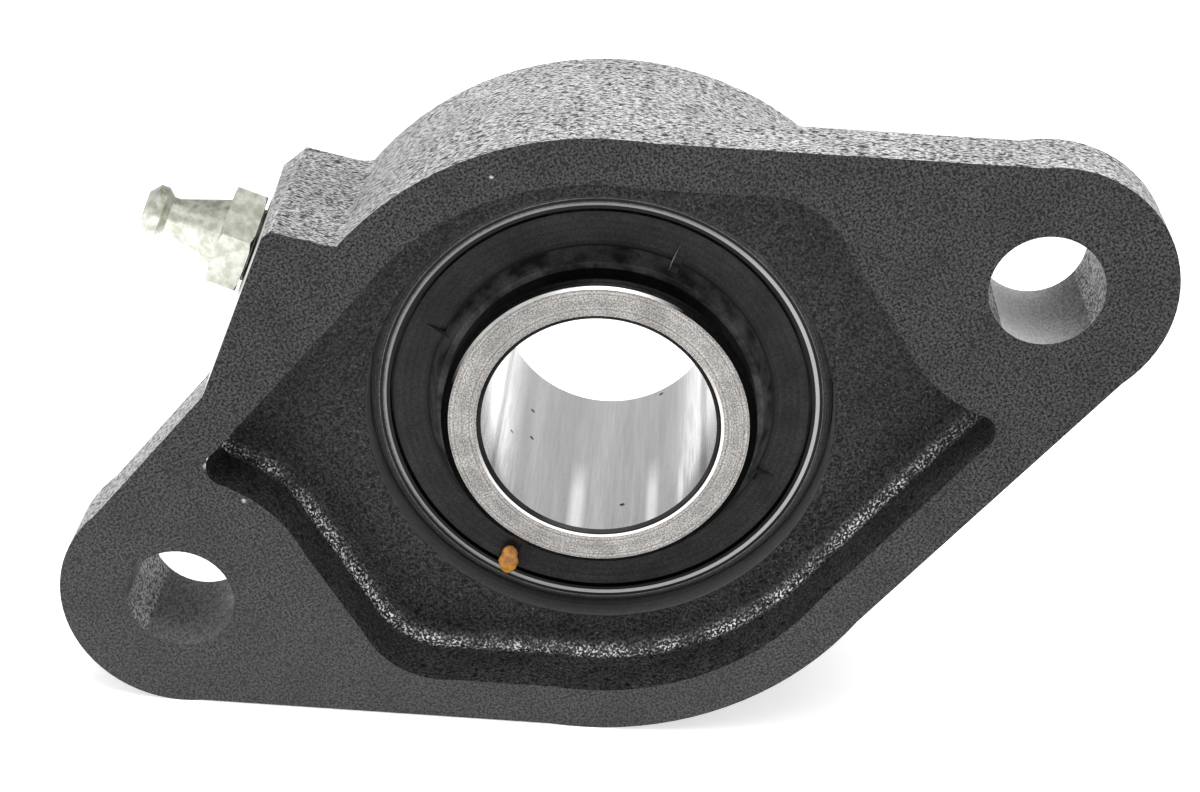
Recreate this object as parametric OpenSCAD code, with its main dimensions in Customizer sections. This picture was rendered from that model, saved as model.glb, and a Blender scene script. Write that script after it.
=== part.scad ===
// Two-bolt flange bearing unit: a rhombic cast housing, a self-aligning ball bearing insert
// with seals, slingers and set screws, and a grease nipple on a machined pad.
// The shaft runs along Y. The mounting face lies in the plane Y = 0 and faces -Y.
// The bolt line is X and up is Z. The origin is on the shaft axis in the mounting face.

/* [Flange] */
// Distance between the two bolt holes
bolt_spacing = 117; // [112:1:130]
// Diameter of the bolt holes
bolt_hole_d = 14; // [10:0.5:16]
// Radius of each ear about its bolt hole
ear_r = 15.7; // [14.7:0.5:18.2]
// Thickness of the flange along its flanks
flange_t = 10.3; // [8:0.1:10.4]
// Thickness of the ears round their bosses
ear_t = 11; // [10.6:0.1:12]
// Height of the raised bosses round the bolt holes
boss_h = 16.2; // [13:0.1:18]
// Radius of each boss at its top
boss_r = 13.6; // [12.2:0.1:13.8]
// Rounding of the cast outer edges
edge_r = 1.5; // [0.8:0.1:2]
// Diameter of the faced seat for each bolt head
spot_face_d = 24; // [18:1:26]

/* [Housing hub] */
// Radius of the hub where it meets the flange
hub_r = 41.2; // [40.2:0.5:43.2]
// Radius of the hub at its far end
hub_tip_r = 40.2; // [38.5:0.1:40.5]
// Height of the hub above the mounting face
hub_h = 34.5; // [33:0.5:36]
// Rounding of the hub's far edge
hub_edge_r = 2.5; // [1:0.5:3]
// Fillet between the hub and the flange
hub_fillet_r = 4; // [2:0.5:6]

/* [Hollow in the mounting face] */
// Depth of the hollow
hollow_depth = 10; // [8:0.5:10.5]
// Width of the rim left along the flanks
rim_w = 5.8; // [5:0.1:7]
// Radius of the solid post round each bolt hole
bolt_pad_r = 18; // [17:0.5:19]
// Radius of the hollow's rounded corners
web_corner_r = 11.3; // [9:0.1:13]
// Distance of those corners' far side from the shaft axis
web_x = 38.4; // [37:0.1:39]
// Fillet between the hollow's wall and its floor
hollow_fillet_r = 2.5; // [1.5:0.1:3]

/* [Grease pad and nipple] */
// Direction of the grease nipple, from the bolt line
grease_angle = 135; // [130:1:140]
// Distance of the grease pad's face from the shaft axis
pad_reach = 48.6; // [47.4:0.1:50]
// Lean of the pad's face towards the mounting face
pad_tilt = 2.5; // [1:0.5:5]
// Length of the pad from the nipple's axis to its free corner
pad_corner = 11.6; // [10:0.1:13]
// Bevel at that corner, along the pad's face
pad_bevel_w = 3.8; // [1:0.1:4]
// Bevel at that corner, along the pad block's free side
pad_bevel_d = 2.3; // [1:0.1:3]
// Height of the pad block above the mounting face
pad_h = 29; // [27:0.5:30]
// Draft angle of the pad block's free side
pad_draft = 8; // [4:1:12]
// Fillet in the notch between the pad block and the hub
notch_r = 5; // [3:0.5:6]
// Fillet between the pad block and the flank
pad_blend_r = 20; // [15:1:24]
// Length of the pad block along the flank beyond that fillet
pad_tail = 5; // [3:0.5:6]
// Distance from the mounting face to the nipple's axis
grease_depth = 20.4; // [20:0.1:21]
// Diameter of the nipple's thread
nipple_thread_d = 9.6; // [8:0.1:10]
// Depth of the threaded hole in the pad
nipple_hole_depth = 8; // [6:0.5:9]
// Diameter of the grease passage to the bearing seat
grease_passage_d = 4; // [3:0.5:5]
// Width of the nipple's hexagon across its flats
nipple_hex_af = 12.7; // [11:0.1:14]
// Height of the hexagon
nipple_hex_h = 4.2; // [3:0.1:5]
// Gap left between the hexagon and the pad
nipple_stand_off = 0.5; // [0.4:0.1:2]
// Diameter of the nipple's head
nipple_head_d = 6.6; // [6:0.1:7]
// Height of the nipple's tip above the pad
nipple_reach = 14.8; // [14:0.1:17]

/* [Bearing insert] */
// Bore diameter for the shaft
shaft_d = 30; // [28:1:31]
// Diameter of the spherical outside
insert_od = 62; // [61:0.5:63]
// Width of the outer ring
outer_ring_w = 19; // [18:0.5:20]
// Distance from the mounting face to the bearing's centre
centre_depth = 22.3; // [22:0.1:23]
// Outside diameter of the inner ring
inner_ring_od = 40.3; // [39.5:0.1:41]
// Distance from the centre to the inner ring's short end
short_end = 15.9; // [14.5:0.1:17]
// Distance from the centre to the inner ring's long end
long_end = 22.2; // [21:0.1:24]
// Diameter of the balls
ball_d = 9.525; // [9:0.025:9.6]
// Diameter of the circle through the ball centres
pitch_d = 46; // [45.8:0.1:46.4]
// Size of the set screws' thread
screw_d = 6; // [5:0.5:6.5]
// Length of the set screws
screw_len = 5; // [4.5:0.5:6]
// Distance of the set screws from the inner ring's long end
screw_inset = 6; // [5:0.5:6.5]

/* [Clearances] */
// Radial clearance in the spherical seat
seat_play = 0.03; // [0.01:0.01:0.08]
// Clearance between a ball and its races
ball_play = 0.015; // [0.01:0.005:0.04]
// Clearance between a ball and its cage pocket
pocket_play = 0.15; // [0.1:0.05:0.2]
// Clearance under the rubber sealing lips
lip_play = 0.05; // [0.02:0.01:0.1]
// Gap between a slinger's rim and the outer ring
slinger_gap = 0.45; // [0.3:0.05:0.6]
// Radial clearance of the set screws in their holes
screw_play = 0.05; // [0.02:0.01:0.1]

/* [Hidden] */
$fn = 72;

// Small length by which a cut runs past the face that it opens
eps = 0.5;
far = 60;

// Flange outline: a hub circle and two ear circles with straight flanks between them.
// The flanks run straight between the hub and the ears, a small step inside their tangents
bolt_x = bolt_spacing / 2;
flank_step = 0.2;
flank_off = hub_r - flank_step;
ear_off = ear_r - flank_step;
flank_l = bolt_x * sin(acos((hub_r - ear_r) / bolt_x));
flank_w = 12;
boss_draft = 0.6;
blend_step = 0.3;
boss_edge_r = 1;
flank_a = acos((hub_r - ear_r) / bolt_x);
pad_n = [cos(grease_angle), sin(grease_angle)];
pad_t = [sin(grease_angle), -cos(grease_angle)];
spot_face_depth = 0.3;
passage_depth = grease_depth + (pad_reach - insert_od / 2) * tan(pad_tilt);

// Inner corner of the hollow, tangent to the flank's rim
web_c = [web_x - web_corner_r,
  (flank_off - rim_w - web_corner_r - (web_x - web_corner_r) * cos(flank_a)) / sin(flank_a)];
post_foot = [bolt_x - bolt_pad_r, 0];
strip_w = 8;
corner_step = 0.1;
fillet_faces = 4;
// The hollow's pieces reach slightly different depths, so that their edges never coincide
disc_depth = hollow_depth;
core_depth = hollow_depth - 0.01;
strip_depth = hollow_depth - 0.02;
post_depth = hollow_depth + 0.02;

// Rounding of the hollow's acute corners, where the rim meets the post of a bolt hole
tip_r = hollow_fillet_r + corner_step;
tip_off = flank_off - rim_w - tip_r;
tip_l = flank_l - sqrt(pow(bolt_pad_r + tip_r, 2) - pow(tip_off - hub_r + ear_r, 2));

// Bearing seat in the housing
insert_r = insert_od / 2;
seat_r = insert_r + seat_play;
seat_half = 8.5;
mouth_relief = 0.2;
seat_mouth_r = sqrt(seat_r * seat_r - seat_half * seat_half) + mouth_relief;
mouth_chamfer = 1;
slot_extra = 0.6;
slot_start = 1.5;

// Insert
ball_count = 9;
first_ball_angle = 90;
ring_half = outer_ring_w / 2;
pitch_r = pitch_d / 2;
ball_r = ball_d / 2;
groove_r = ball_d * 0.52;
inner_r = inner_ring_od / 2;
shaft_r = shaft_d / 2;
outer_land_gap = 2.9;
outer_land_r = pitch_r + outer_land_gap;
outer_groove_x = pitch_r + ball_r + ball_play - groove_r;
inner_groove_x = pitch_r - ball_r - ball_play + groove_r;
ring_face_r = sqrt(insert_r * insert_r - ring_half * ring_half);
outer_edge = 0.8;
inner_edge = 1;
bore_edge = 0.4;
grease_groove_w = 3;
grease_groove_depth = 0.6;
grease_hole_d = 2;

// Seals and slingers, with distances from the bearing's centre along the shaft
seal_seat_step = 1.4;
seal_seat_r = outer_land_r + seal_seat_step;
seal_seat_start = 6.6;
seal_sheet = 0.6;
seal_flange_w = 1.4;
seal_core_gap = 1.45;
seal_core_r = inner_r + seal_core_gap;
lip_start = 6.1;
lip_end = 7.8;
lip_cover_step = 1.3;
lip_cover_r = seal_seat_r - lip_cover_step;
lip_cover_t = 0.3;
slinger_start = 8.3;
slinger_end = 9.3;
collar_end = 11.6;
collar_foot_r = 22.2;
collar_tip_r = 21;
rib_count = 4;
rib_end_r = 24.9;
rib_w = 1.1;
rib_angle = 42;
rib_drop = 0.6;

// Cage
cage_sheet = 0.8;
cage_rim = 1.7;
cage_in_r = pitch_r - cage_rim;
cage_out_r = pitch_r + cage_rim;
rivet_r = 0.7;
rivet_head_r = 1.25;
rivet_head_h = 0.5;

// Set screws
screw_r = screw_d / 2;
screw_angles = [30, 150];
screw_tip = 0.6;
screw_key_af = 3;
screw_key_depth = 2.5;
screw_cup_r = 1.5;
screw_cup_depth = 0.5;
screw_bevel = 0.5;

// Grease nipple, with heights above the pad
nipple_shank_below = 7;
nipple_channel_r = 1.5;
nipple_ball_r = 1.25;
nipple_orifice_r = 0.8;
nipple_tip_r = 2;
nipple_cone_r = 4.6;
nipple_clock = -25;
nipple_seat_h = 0.9;
nipple_orifice_h = 0.4;
nipple_neck_r = 2.4;
nipple_seat_play = 0.03;
head_land_h = 1.2;
head_top_h = 1.1;
head_base_h = 0.9;
neck_h = 0.8;
retainer_h = 0.8;
retainer_hole_r = 0.6;
retainer_at = 1.4;
channel_top = nipple_reach - nipple_orifice_h - nipple_seat_h;
seat_drop = nipple_channel_r - nipple_orifice_r;
check_ball_at = channel_top - ((nipple_ball_r + nipple_seat_play) * norm([seat_drop, nipple_seat_h])
  - nipple_channel_r * nipple_seat_h) / seat_drop;
spring_r = 0.9;
spring_wire_r = 0.16;
spring_gap = 0.05;
spring_turns = 6;
spring_steps = 12;
spring_sides = 6;

cast_grey = [0.42, 0.42, 0.42];
ground_steel = [0.75, 0.74, 0.72];
zinc = [0.78, 0.77, 0.66];
black_rubber = [0.12, 0.12, 0.12];
sheet_steel = [0.6, 0.6, 0.62];
black_oxide = [0.2, 0.2, 0.21];

function polar(r, a) = [r * cos(a), r * sin(a)];
function ball_angle(i) = first_ball_angle + 360 * (i - 1) / ball_count;
// Direction from a circle's centre to where a line through point p touches it
function touch_angle(p, c, r) =
  atan2(p[1] - c[1], p[0] - c[0]) + acos(r / norm(p - c));

// Turns the working frame (x along the bolts, y up, z away from the mounting face) into place
module in_place() {
  rotate([90, 0, 0]) mirror([0, 0, 1]) children();
}

// Working frame at the grease pad, with z along the nipple
module at_pad() {
  translate([pad_reach * pad_n[0], pad_reach * pad_n[1], grease_depth])
    rotate([0, 90 + pad_tilt, grease_angle])
      children();
}

// Part of a revolved profile that lies on one side of the bearing's centre
module mirror_to(side) {
  translate([0, 0, centre_depth])
    mirror([0, 0, side < 0 ? 1 : 0])
      children();
}

// The four straight flanks' edges as one rhombic polygon, drawn in by the given amount
module rhombus(inset = 0) {
  hr = flank_off - inset;
  er = ear_off - inset;
  polygon([
    [bolt_x, 0] + polar(er, flank_a), polar(hr, flank_a),
    polar(hr, 180 - flank_a), [-bolt_x, 0] + polar(er, 180 - flank_a),
    [-bolt_x, 0] + polar(er, 180 + flank_a), polar(hr, 180 + flank_a),
    polar(hr, -flank_a), [bolt_x, 0] + polar(er, -flank_a)
  ]);
}

// One flank with its far edge rounded, drawn along the flank and run inside the hub and ear
module flank() {
  low = flange_t - edge_r;
  translate([bolt_x, 0, 0] + ear_off * [cos(flank_a), sin(flank_a), 0])
    rotate([90, 0, flank_a + 180])
      linear_extrude(flank_l) {
        square([flank_w, low]);
        translate([edge_r, 0]) square([flank_w - edge_r, flange_t]);
        translate([edge_r, low]) circle(edge_r, $fn = 32);
      }
}

module flange_plate() {
  linear_extrude(flange_t) rhombus(flank_w / 2);
  for (turn = [0, 180], flip = [0, 1]) rotate(turn) mirror([0, flip, 0]) flank();
}

module ear() {
  low = ear_t - edge_r;
  rotate_extrude() {
    square([ear_r, low]);
    square([ear_r - edge_r, ear_t]);
    translate([ear_r - edge_r, low]) circle(edge_r, $fn = 32);
    polygon([
      [0, 0], [boss_r + boss_draft, 0], [boss_r + boss_draft, ear_t], [boss_r, boss_h - boss_edge_r],
      [boss_r - boss_edge_r, boss_h], [0, boss_h]
    ]);
    translate([boss_r - boss_edge_r, boss_h - boss_edge_r]) circle(boss_edge_r, $fn = 32);
  }
}

module hub() {
  rotate_extrude() {
    polygon([
      [0, 0], [hub_r, 0], [hub_r, ear_t + 1], [hub_tip_r, hub_h - hub_edge_r],
      [hub_tip_r - hub_edge_r, hub_h], [0, hub_h]
    ]);
    translate([hub_tip_r - hub_edge_r, hub_h - hub_edge_r]) circle(hub_edge_r, $fn = 48);
  }
  intersection() {
    rotate_extrude() difference() {
      translate([hub_r - 2, flange_t - 1]) square([2 + hub_fillet_r, 1 + hub_fillet_r]);
      translate([hub_r + hub_fillet_r, flange_t + hub_fillet_r]) circle(hub_fillet_r, $fn = 48);
    }
    linear_extrude(hub_h) rhombus(edge_r + blend_step);
  }
}

// Outline of the block that carries the grease pad, with its blends to the hub and the flank
module pad_outline() {
  reach = pad_reach + (pad_h - grease_depth) * tan(pad_tilt) + blend_step;
  side = flank_off - flank_step;
  flank_n = polar(1, 180 - flank_a);
  side_d = -polar(1, grease_angle + pad_draft);
  side_n = [-side_d[1], side_d[0]];
  corner = reach * pad_n + pad_corner * pad_t;
  turn = 180 - flank_a - grease_angle;
  meet = reach * pad_n - (side - reach * cos(turn)) / sin(turn) * pad_t;
  blend = pad_blend_r * tan(abs(turn) / 2);
  flank_d = [flank_n[1], -flank_n[0]];
  blend_c = meet + blend * pad_t + pad_blend_r * pad_n;
  tail = meet - (blend + pad_tail) * flank_d;
  notch_off = side_n * corner + notch_r;
  hub_in = hub_tip_r - blend_step;
  notch_c = notch_off * side_n - sqrt(pow(hub_in + notch_r, 2) - notch_off * notch_off) * side_d;
  hub_touch = hub_in / norm(notch_c) * notch_c;
  side_touch = notch_c - notch_r * side_n;
  difference() {
    polygon([
      [0, 0], tail, meet, corner - pad_bevel_w * pad_t, corner + pad_bevel_d * side_d, side_touch,
      notch_c, hub_touch
    ]);
    translate(notch_c) circle(notch_r);
  }
  difference() {
    polygon([0.9 * meet, meet - blend * flank_d, meet + blend * pad_t]);
    translate(blend_c) circle(pad_blend_r);
  }
}

module pad_block() {
  difference() {
    linear_extrude(pad_h) pad_outline();
    at_pad() translate([-far, -far, 0]) cube([2 * far, 2 * far, far]);
  }
}

// Quarter round of the hollow's edge as short straight faces, from the wall down to the floor
function foot_round(r, side, depth) = [for (a = [0 : 90 / fillet_faces : 90])
  [r + side * hollow_fillet_r * (1 - cos(a)), depth - hollow_fillet_r * (1 - sin(a))]];

// Straight piece of the hollow along one wall, from a point on the wall with its normal's angle
module hollow_strip(start, a, length) {
  translate([start[0], start[1], 0])
    rotate([90, 0, a + 180])
      linear_extrude(length)
        polygon(concat([[strip_w, strip_depth], [strip_w, -eps], [0, -eps]], foot_round(0, 1, strip_depth)));
}

module hollow_disc(r) {
  rotate_extrude()
    polygon(concat([[0, disc_depth], [0, -eps], [r, -eps]], foot_round(r, -1, disc_depth)));
}

// Post of casting left round a bolt hole
module bolt_post() {
  rotate_extrude() polygon(concat(
    [[0, post_depth + eps], [0, -2 * eps], [bolt_pad_r, -2 * eps]], foot_round(bolt_pad_r, 1, post_depth),
    [[bolt_pad_r + hollow_fillet_r, post_depth + eps]]
  ));
}

// The hollow in the mounting face, from overlapping pieces; each end has one rounded corner
module hollow() {
  wall = flank_off - rim_w;
  in = strip_w / 2;
  past = 4;
  a = touch_angle(post_foot, web_c, web_corner_r);
  rim_p = web_c + polar(web_corner_r, flank_a);
  end_p = web_c + polar(web_corner_r, a);
  tip_c = polar(tip_off, -flank_a) + polar(tip_l, 90 - flank_a);
  right = [
    polar(wall - in, -flank_a), tip_c, [bolt_x, 0], post_foot - [in, 0],
    web_c + polar(web_corner_r - in, a), web_c + polar(web_corner_r - in, flank_a), polar(wall - in, flank_a)
  ];
  difference() {
    union() {
      translate([0, 0, -eps]) linear_extrude(eps + core_depth)
        polygon(concat(right, [for (p = right) -p]));
      hollow_disc(wall + flank_step);
      for (turn = [0, 180]) rotate(turn) {
        hollow_strip(rim_p, flank_a, norm(rim_p - polar(wall, flank_a)));
        hollow_strip(polar(wall, -flank_a), -flank_a, tip_l);
        translate([tip_c[0], tip_c[1], 0]) hollow_disc(tip_r + corner_step);
        hollow_strip(post_foot + past * polar(1, a - 90), a, norm(end_p - post_foot) + past);
        translate([web_c[0], web_c[1], 0]) hollow_disc(web_corner_r + corner_step);
      }
    }
    for (turn = [0, 180]) rotate(turn) translate([bolt_x, 0, 0]) bolt_post();
  }
}

// Space for the insert: spherical seat, mouths on both sides and two loading slots
module insert_space() {
  translate([0, 0, hollow_depth - eps]) cylinder(r = seat_mouth_r, h = hub_h - hollow_depth + 2 * eps);
  intersection() {
    translate([0, 0, centre_depth]) sphere(seat_r, $fn = 120);
    translate([0, 0, centre_depth - seat_half]) cylinder(r = far, h = 2 * seat_half);
  }
  translate([0, 0, hub_h - mouth_chamfer])
    cylinder(r1 = seat_mouth_r, r2 = seat_mouth_r + mouth_chamfer + eps, h = mouth_chamfer + eps);
  intersection() {
    translate([0, 0, centre_depth + slot_start]) cylinder(r = seat_r + slot_extra / 2, h = far);
    translate([-far, -ring_half - slot_extra / 2, 0])
      cube([2 * far, outer_ring_w + slot_extra, hub_h + eps]);
  }
}

module grease_way() {
  at_pad() {
    translate([0, 0, -nipple_hole_depth]) cylinder(d = nipple_thread_d, h = nipple_hole_depth + far);
    translate([0, 0, insert_r - pad_reach - 1]) cylinder(d = grease_passage_d, h = pad_reach - insert_r);
  }
}

module housing() {
  color(cast_grey) in_place() difference() {
    union() {
      flange_plate();
      for (turn = [0, 180]) rotate(turn) translate([bolt_x, 0, 0]) ear();
      hub();
      pad_block();
    }
    hollow();
    insert_space();
    grease_way();
    for (s = [-1, 1]) translate([s * bolt_x, 0, -eps]) {
      cylinder(d = bolt_hole_d, h = far);
      translate([0, 0, boss_h - spot_face_depth + eps]) cylinder(d = spot_face_d, h = far);
    }
  }
}

// Round channel through the nipple, narrowing to the seat of the check ball
module nipple_channel() {
  rotate_extrude() polygon([
    [0, -nipple_shank_below - eps], [nipple_channel_r, -nipple_shank_below - eps],
    [nipple_channel_r, channel_top], [nipple_orifice_r, channel_top + nipple_seat_h],
    [nipple_orifice_r, nipple_reach + eps], [0, nipple_reach + eps]
  ]);
}

module grease_nipple_body() {
  hex_top = nipple_stand_off + nipple_hex_h;
  hex_corner_r = nipple_hex_af / 2 / cos(30);
  hex_bevel = 0.6;
  head_r = nipple_head_d / 2;
  land_top = nipple_reach - head_top_h;
  land_low = land_top - head_land_h;
  neck_top = land_low - head_base_h;
  color(zinc) in_place() at_pad() difference() {
    union() {
      translate([0, 0, -nipple_shank_below])
        cylinder(d = nipple_thread_d, h = nipple_shank_below + nipple_stand_off);
      intersection() {
        translate([0, 0, nipple_stand_off]) rotate(nipple_clock)
          cylinder(r = hex_corner_r, h = nipple_hex_h, $fn = 6);
        rotate_extrude() polygon([
          [0, nipple_stand_off], [hex_corner_r - hex_bevel, nipple_stand_off],
          [hex_corner_r, nipple_stand_off + hex_bevel / 2], [hex_corner_r, hex_top - hex_bevel / 2],
          [hex_corner_r - hex_bevel, hex_top], [0, hex_top]
        ]);
      }
      rotate_extrude() polygon([
        [0, hex_top - eps], [nipple_cone_r, hex_top - eps], [nipple_cone_r, hex_top],
        [nipple_neck_r, neck_top - neck_h], [nipple_neck_r, neck_top], [head_r, land_low],
        [head_r, land_top], [nipple_tip_r, nipple_reach], [0, nipple_reach]
      ]);
    }
    nipple_channel();
  }
}

module grease_check_ball() {
  color(ground_steel) in_place() at_pad() translate([0, 0, check_ball_at]) sphere(nipple_ball_r);
}

module grease_spring_retainer() {
  color(zinc) in_place() at_pad() translate([0, 0, retainer_at]) difference() {
    cylinder(r = nipple_channel_r, h = retainer_h);
    translate([0, 0, -eps]) cylinder(r = retainer_hole_r, h = retainer_h + 2 * eps);
  }
}

// Wire coil, swept as a tube with flat sides
module coil(mean_r, wire_r, height, turns) {
  rings = turns * spring_steps;
  points = [for (i = [0:rings], j = [0:spring_sides - 1])
    let (turn = 360 * i / spring_steps, side = 360 * j / spring_sides, r = mean_r + wire_r * cos(side))
    [r * cos(turn), r * sin(turn), height * i / rings + wire_r * sin(side)]];
  walls = [for (i = [0:rings - 1], j = [0:spring_sides - 1], half = [0, 1])
    let (a = i * spring_sides, k = (j + 1) % spring_sides, b = a + spring_sides)
    half == 0 ? [a + j, b + j, b + k] : [a + j, b + k, a + k]];
  foot = [for (j = [1:spring_sides - 2]) [0, j, j + 1]];
  last = rings * spring_sides;
  head = [for (j = [1:spring_sides - 2]) [last, last + j + 1, last + j]];
  polyhedron(points, concat(walls, foot, head));
}

module grease_spring() {
  foot = retainer_at + retainer_h + spring_wire_r;
  ball_touch = check_ball_at - sqrt(nipple_ball_r * nipple_ball_r - spring_r * spring_r);
  top = ball_touch - spring_wire_r - spring_gap;
  color(sheet_steel) in_place() at_pad() translate([0, 0, foot])
    coil(spring_r, spring_wire_r, top - foot, spring_turns);
}

module outer_ring() {
  color(ground_steel) in_place() difference() {
    rotate_extrude() translate([0, centre_depth]) difference() {
      intersection() {
        circle(insert_r, $fn = 180);
        translate([outer_land_r, -ring_half]) square([far, outer_ring_w]);
      }
      translate([outer_groove_x, 0]) circle(groove_r, $fn = 96);
      translate([insert_r - grease_groove_depth, passage_depth - centre_depth - grease_groove_w / 2])
        square([far, grease_groove_w]);
      for (side = [0, 1]) mirror([0, side]) {
        translate([0, seal_seat_start]) square([seal_seat_r, far]);
        polygon([
          [ring_face_r - outer_edge, ring_half + eps], [ring_face_r - outer_edge, ring_half],
          [ring_face_r + outer_edge, ring_half - 2 * outer_edge],
          [insert_r + eps, ring_half - 2 * outer_edge], [insert_r + eps, ring_half + eps]
        ]);
      }
    }
    for (turn = [0, 180]) translate([0, 0, passage_depth])
      rotate([0, 90, grease_angle + turn]) cylinder(d = grease_hole_d, h = far);
  }
}

module inner_ring() {
  low = -short_end;
  color(ground_steel) in_place() difference() {
    rotate_extrude() translate([0, centre_depth]) difference() {
      polygon([
        [shaft_r, low + bore_edge], [shaft_r + bore_edge, low], [inner_r - inner_edge, low],
        [inner_r, low + inner_edge], [inner_r, long_end - inner_edge],
        [inner_r - inner_edge, long_end], [shaft_r + bore_edge, long_end],
        [shaft_r, long_end - bore_edge]
      ]);
      translate([inner_groove_x, 0]) circle(groove_r, $fn = 96);
    }
    for (a = screw_angles) at_screw(a) cylinder(r = screw_r, h = far);
  }
}

// Working frame of a set screw, with z pointing away from the shaft
module at_screw(a) {
  translate([0, 0, centre_depth + long_end - screw_inset]) rotate([0, 90, a]) children();
}

module set_screw(i) {
  r = screw_r - screw_play;
  color(black_oxide) in_place() at_screw(screw_angles[i - 1])
    translate([0, 0, shaft_r + screw_tip]) difference() {
      rotate_extrude() polygon([
        [0, screw_cup_depth], [screw_cup_r, 0], [r - screw_bevel, 0], [r, screw_bevel],
        [r, screw_len - screw_bevel], [r - screw_bevel, screw_len], [0, screw_len]
      ]);
      translate([0, 0, screw_len - screw_key_depth])
        cylinder(r = screw_key_af / 2 / cos(30), h = far, $fn = 6);
    }
}

// Pressed sheet-steel ring that holds the seal in the outer ring
module seal_core(side) {
  color(sheet_steel) in_place() mirror_to(side) rotate_extrude() polygon([
    [seal_core_r, seal_seat_start], [seal_seat_r, seal_seat_start],
    [seal_seat_r, seal_seat_start + seal_flange_w],
    [seal_seat_r - seal_sheet, seal_seat_start + seal_flange_w],
    [seal_seat_r - seal_sheet, seal_seat_start + seal_sheet],
    [seal_core_r, seal_seat_start + seal_sheet]
  ]);
}

// Rubber moulded on the core, with two lips that wipe the inner ring
module seal_lip(side) {
  back = seal_seat_start + seal_sheet;
  wipe_r = inner_r + lip_play;
  lip_t = 0.4;
  waist_w = 0.65;
  cover_step = 0.1;
  color(black_rubber) in_place() mirror_to(side) rotate_extrude() polygon([
    [seal_core_r, seal_seat_start], [seal_core_r, back], [lip_cover_r, back],
    [lip_cover_r, back + lip_cover_t], [seal_core_r + cover_step, back + lip_cover_t],
    [wipe_r + lip_t, lip_end], [wipe_r, lip_end - lip_t / 2], [seal_core_r - waist_w, seal_seat_start + lip_t],
    [wipe_r, lip_start + lip_t / 2], [wipe_r + lip_t, lip_start]
  ]);
}

// Thrower ring pressed on the inner ring, with a raised collar braced by triangular ribs
module slinger(side) {
  color(black_rubber) in_place() mirror_to(side) {
    rotate_extrude() polygon([
      [inner_r, slinger_start], [seal_seat_r - slinger_gap, slinger_start],
      [seal_seat_r - slinger_gap, slinger_end], [collar_foot_r, slinger_end],
      [collar_tip_r, collar_end], [inner_r, collar_end]
    ]);
    for (i = [0:rib_count - 1]) rotate(rib_angle + 360 * i / rib_count)
      translate([0, rib_w / 2, 0]) rotate([90, 0, 0]) linear_extrude(rib_w) polygon([
        [inner_r + eps, slinger_end - eps], [rib_end_r, slinger_end - eps],
        [rib_end_r, slinger_end], [collar_tip_r, collar_end - rib_drop],
        [inner_r + eps, collar_end - rib_drop]
      ]);
  }
}

// Half of the riveted cage: a flat ring with a round pocket pressed in it for each ball
module cage_half(side) {
  pocket_r = ball_r + pocket_play;
  color(sheet_steel) in_place() mirror_to(side) difference() {
    intersection() {
      union() {
        cylinder(r = cage_out_r, h = cage_sheet);
        for (i = [1:ball_count]) at_ball(i) sphere(pocket_r + cage_sheet);
      }
      cylinder(r = cage_out_r, h = far);
    }
    translate([0, 0, -eps]) cylinder(r = cage_in_r, h = far);
    for (i = [1:ball_count]) at_ball(i) sphere(pocket_r);
    for (i = [1:ball_count]) at_rivet(i) cylinder(r = rivet_r, h = far, center = true);
  }
}

module at_ball(i) {
  translate(polar(pitch_r, ball_angle(i))) children();
}

module at_rivet(i) {
  translate(polar(pitch_r, ball_angle(i + 0.5))) children();
}

module cage_rivets() {
  color(ground_steel) in_place() translate([0, 0, centre_depth])
    for (i = [1:ball_count]) at_rivet(i) {
      cylinder(r = rivet_r, h = 2 * cage_sheet, center = true);
      for (side = [0, 1]) mirror([0, 0, side]) translate([0, 0, cage_sheet])
        cylinder(r = rivet_head_r, h = rivet_head_h);
    }
}

module ball(i) {
  color(ground_steel) in_place() translate([0, 0, centre_depth]) at_ball(i) sphere(ball_r);
}

housing();
grease_nipple_body();
grease_check_ball();
grease_spring();
grease_spring_retainer();
outer_ring();
inner_ring();
set_screw(1);  // set_screw_1
set_screw(2);  // set_screw_2
seal_core(-1);  // mount_side_seal_core
seal_lip(-1);  // mount_side_seal_lip
slinger(-1);  // mount_side_slinger
seal_core(1);  // hub_side_seal_core
seal_lip(1);  // hub_side_seal_lip
slinger(1);  // hub_side_slinger
cage_half(-1);  // cage_mount_half
cage_half(1);  // cage_hub_half
cage_rivets();
ball(1);  // ball_1
ball(2);  // ball_2
ball(3);  // ball_3
ball(4);  // ball_4
ball(5);  // ball_5
ball(6);  // ball_6
ball(7);  // ball_7
ball(8);  // ball_8
ball(9);  // ball_9
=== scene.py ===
import bpy
import bmesh
import math
from mathutils import Matrix, Vector


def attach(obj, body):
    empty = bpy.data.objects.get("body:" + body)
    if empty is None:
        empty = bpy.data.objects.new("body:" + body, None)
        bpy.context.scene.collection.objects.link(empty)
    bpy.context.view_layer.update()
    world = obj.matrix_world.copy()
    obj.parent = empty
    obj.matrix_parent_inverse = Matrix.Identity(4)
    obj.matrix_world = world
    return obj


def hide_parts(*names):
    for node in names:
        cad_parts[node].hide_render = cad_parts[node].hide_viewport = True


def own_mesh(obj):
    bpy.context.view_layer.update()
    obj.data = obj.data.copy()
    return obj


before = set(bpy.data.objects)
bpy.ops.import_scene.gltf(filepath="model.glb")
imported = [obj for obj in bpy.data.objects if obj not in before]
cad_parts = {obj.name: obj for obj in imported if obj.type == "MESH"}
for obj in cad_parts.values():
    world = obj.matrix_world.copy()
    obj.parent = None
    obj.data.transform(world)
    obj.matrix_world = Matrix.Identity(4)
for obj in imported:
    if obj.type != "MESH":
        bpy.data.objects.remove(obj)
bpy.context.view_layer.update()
mm = 0.001
screenGamma = 2.2


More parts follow.
